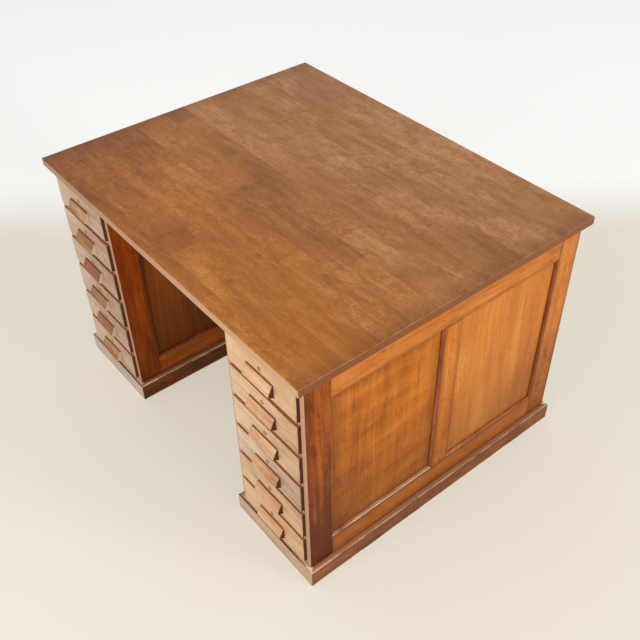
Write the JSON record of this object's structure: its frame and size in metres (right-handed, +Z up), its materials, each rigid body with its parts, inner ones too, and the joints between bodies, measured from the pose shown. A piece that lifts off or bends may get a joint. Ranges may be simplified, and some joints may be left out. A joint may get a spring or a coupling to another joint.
{
  "type": "partners desk",
  "caption": "Wide wooden partners desk: a flat top on two panelled pedestals with wedge-pull drawers on both long sides and an open kneehole.",
  "frame": {"origin": "on the floor under the middle of the desk", "axes": "+X along the width, +Z up; one long side with drawers faces -Y, the other +Y"},
  "size_m": [1.25, 1, 0.78],
  "materials": {
    "top_wood": "satin stained",
    "cabinet_wood": "satin stained",
    "panel_wood": "satin stained",
    "plinth_wood": "satin stained",
    "drawer_wood": "satin stained",
    "pull_wood": "satin stained",
    "carcass_wood": "bare",
    "brass": "aged"
  },
  "bodies": {
    "desk": {"desktop": "top_wood", "desktop_screws": "brass", "left_outer_frame": "cabinet_wood", "left_inner_frame": "cabinet_wood", "left_side_panels": "panel_wood", "left_plinth": "plinth_wood", "left_drawer_dividers": "carcass_wood", "right_outer_frame": "cabinet_wood", "right_inner_frame": "cabinet_wood", "right_side_panels": "panel_wood", "right_plinth": "plinth_wood", "right_drawer_dividers": "carcass_wood"},
    "front_left_drawer_1": {"front_left_drawer_1": "drawer_wood", "front_left_pull_1": "pull_wood"},
    "front_left_drawer_2": {"front_left_drawer_2": "drawer_wood", "front_left_pull_2": "pull_wood"},
    "front_left_drawer_3": {"front_left_drawer_3": "drawer_wood", "front_left_pull_3": "pull_wood"},
    "front_left_drawer_4": {"front_left_drawer_4": "drawer_wood", "front_left_pull_4": "pull_wood"},
    "front_left_drawer_5": {"front_left_drawer_5": "drawer_wood", "front_left_pull_5": "pull_wood"},
    "front_left_drawer_6": {"front_left_drawer_6": "drawer_wood", "front_left_pull_6": "pull_wood"},
    "back_left_drawer_1": {"back_left_drawer_1": "drawer_wood", "back_left_pull_1": "pull_wood"},
    "back_left_drawer_2": {"back_left_drawer_2": "drawer_wood", "back_left_pull_2": "pull_wood"},
    "back_left_drawer_3": {"back_left_drawer_3": "drawer_wood", "back_left_pull_3": "pull_wood"},
    "back_left_drawer_4": {"back_left_drawer_4": "drawer_wood", "back_left_pull_4": "pull_wood"},
    "back_left_drawer_5": {"back_left_drawer_5": "drawer_wood", "back_left_pull_5": "pull_wood"},
    "back_left_drawer_6": {"back_left_drawer_6": "drawer_wood", "back_left_pull_6": "pull_wood"},
    "front_right_drawer_1": {"front_right_drawer_1": "drawer_wood", "front_right_pull_1": "pull_wood"},
    "front_right_drawer_2": {"front_right_drawer_2": "drawer_wood", "front_right_pull_2": "pull_wood"},
    "front_right_drawer_3": {"front_right_drawer_3": "drawer_wood", "front_right_pull_3": "pull_wood"},
    "front_right_drawer_4": {"front_right_drawer_4": "drawer_wood", "front_right_pull_4": "pull_wood"},
    "front_right_drawer_5": {"front_right_drawer_5": "drawer_wood", "front_right_pull_5": "pull_wood"},
    "front_right_drawer_6": {"front_right_drawer_6": "drawer_wood", "front_right_pull_6": "pull_wood"},
    "back_right_drawer_1": {"back_right_drawer_1": "drawer_wood", "back_right_pull_1": "pull_wood"},
    "back_right_drawer_2": {"back_right_drawer_2": "drawer_wood", "back_right_pull_2": "pull_wood"},
    "back_right_drawer_3": {"back_right_drawer_3": "drawer_wood", "back_right_pull_3": "pull_wood"},
    "back_right_drawer_4": {"back_right_drawer_4": "drawer_wood", "back_right_pull_4": "pull_wood"},
    "back_right_drawer_5": {"back_right_drawer_5": "drawer_wood", "back_right_pull_5": "pull_wood"},
    "back_right_drawer_6": {"back_right_drawer_6": "drawer_wood", "back_right_pull_6": "pull_wood"}
  },
  "joints": [
    {"name": "front_left_drawer_1_slide", "type": "slide", "parent": "desk", "child": "front_left_drawer_1", "axis": [0, -1, 0], "range_m": [0, 0.36]},
    {"name": "front_left_drawer_2_slide", "type": "slide", "parent": "desk", "child": "front_left_drawer_2", "axis": [0, -1, 0], "range_m": [0, 0.36]},
    {"name": "front_left_drawer_3_slide", "type": "slide", "parent": "desk", "child": "front_left_drawer_3", "axis": [0, -1, 0], "range_m": [0, 0.36]},
    {"name": "front_left_drawer_4_slide", "type": "slide", "parent": "desk", "child": "front_left_drawer_4", "axis": [0, -1, 0], "range_m": [0, 0.36]},
    {"name": "front_left_drawer_5_slide", "type": "slide", "parent": "desk", "child": "front_left_drawer_5", "axis": [0, -1, 0], "range_m": [0, 0.36]},
    {"name": "front_left_drawer_6_slide", "type": "slide", "parent": "desk", "child": "front_left_drawer_6", "axis": [0, -1, 0], "range_m": [0, 0.36]},
    {"name": "back_left_drawer_1_slide", "type": "slide", "parent": "desk", "child": "back_left_drawer_1", "axis": [0, 1, 0], "range_m": [0, 0.36]},
    {"name": "back_left_drawer_2_slide", "type": "slide", "parent": "desk", "child": "back_left_drawer_2", "axis": [0, 1, 0], "range_m": [0, 0.36]},
    {"name": "back_left_drawer_3_slide", "type": "slide", "parent": "desk", "child": "back_left_drawer_3", "axis": [0, 1, 0], "range_m": [0, 0.36]},
    {"name": "back_left_drawer_4_slide", "type": "slide", "parent": "desk", "child": "back_left_drawer_4", "axis": [0, 1, 0], "range_m": [0, 0.36]},
    {"name": "back_left_drawer_5_slide", "type": "slide", "parent": "desk", "child": "back_left_drawer_5", "axis": [0, 1, 0], "range_m": [0, 0.36]},
    {"name": "back_left_drawer_6_slide", "type": "slide", "parent": "desk", "child": "back_left_drawer_6", "axis": [0, 1, 0], "range_m": [0, 0.36]},
    {"name": "front_right_drawer_1_slide", "type": "slide", "parent": "desk", "child": "front_right_drawer_1", "axis": [0, -1, 0], "range_m": [0, 0.36]},
    {"name": "front_right_drawer_2_slide", "type": "slide", "parent": "desk", "child": "front_right_drawer_2", "axis": [0, -1, 0], "range_m": [0, 0.36]},
    {"name": "front_right_drawer_3_slide", "type": "slide", "parent": "desk", "child": "front_right_drawer_3", "axis": [0, -1, 0], "range_m": [0, 0.36]},
    {"name": "front_right_drawer_4_slide", "type": "slide", "parent": "desk", "child": "front_right_drawer_4", "axis": [0, -1, 0], "range_m": [0, 0.36]},
    {"name": "front_right_drawer_5_slide", "type": "slide", "parent": "desk", "child": "front_right_drawer_5", "axis": [0, -1, 0], "range_m": [0, 0.36]},
    {"name": "front_right_drawer_6_slide", "type": "slide", "parent": "desk", "child": "front_right_drawer_6", "axis": [0, -1, 0], "range_m": [0, 0.36]},
    {"name": "back_right_drawer_1_slide", "type": "slide", "parent": "desk", "child": "back_right_drawer_1", "axis": [0, 1, 0], "range_m": [0, 0.36]},
    {"name": "back_right_drawer_2_slide", "type": "slide", "parent": "desk", "child": "back_right_drawer_2", "axis": [0, 1, 0], "range_m": [0, 0.36]},
    {"name": "back_right_drawer_3_slide", "type": "slide", "parent": "desk", "child": "back_right_drawer_3", "axis": [0, 1, 0], "range_m": [0, 0.36]},
    {"name": "back_right_drawer_4_slide", "type": "slide", "parent": "desk", "child": "back_right_drawer_4", "axis": [0, 1, 0], "range_m": [0, 0.36]},
    {"name": "back_right_drawer_5_slide", "type": "slide", "parent": "desk", "child": "back_right_drawer_5", "axis": [0, 1, 0], "range_m": [0, 0.36]},
    {"name": "back_right_drawer_6_slide", "type": "slide", "parent": "desk", "child": "back_right_drawer_6", "axis": [0, 1, 0], "range_m": [0, 0.36]}
  ]
}
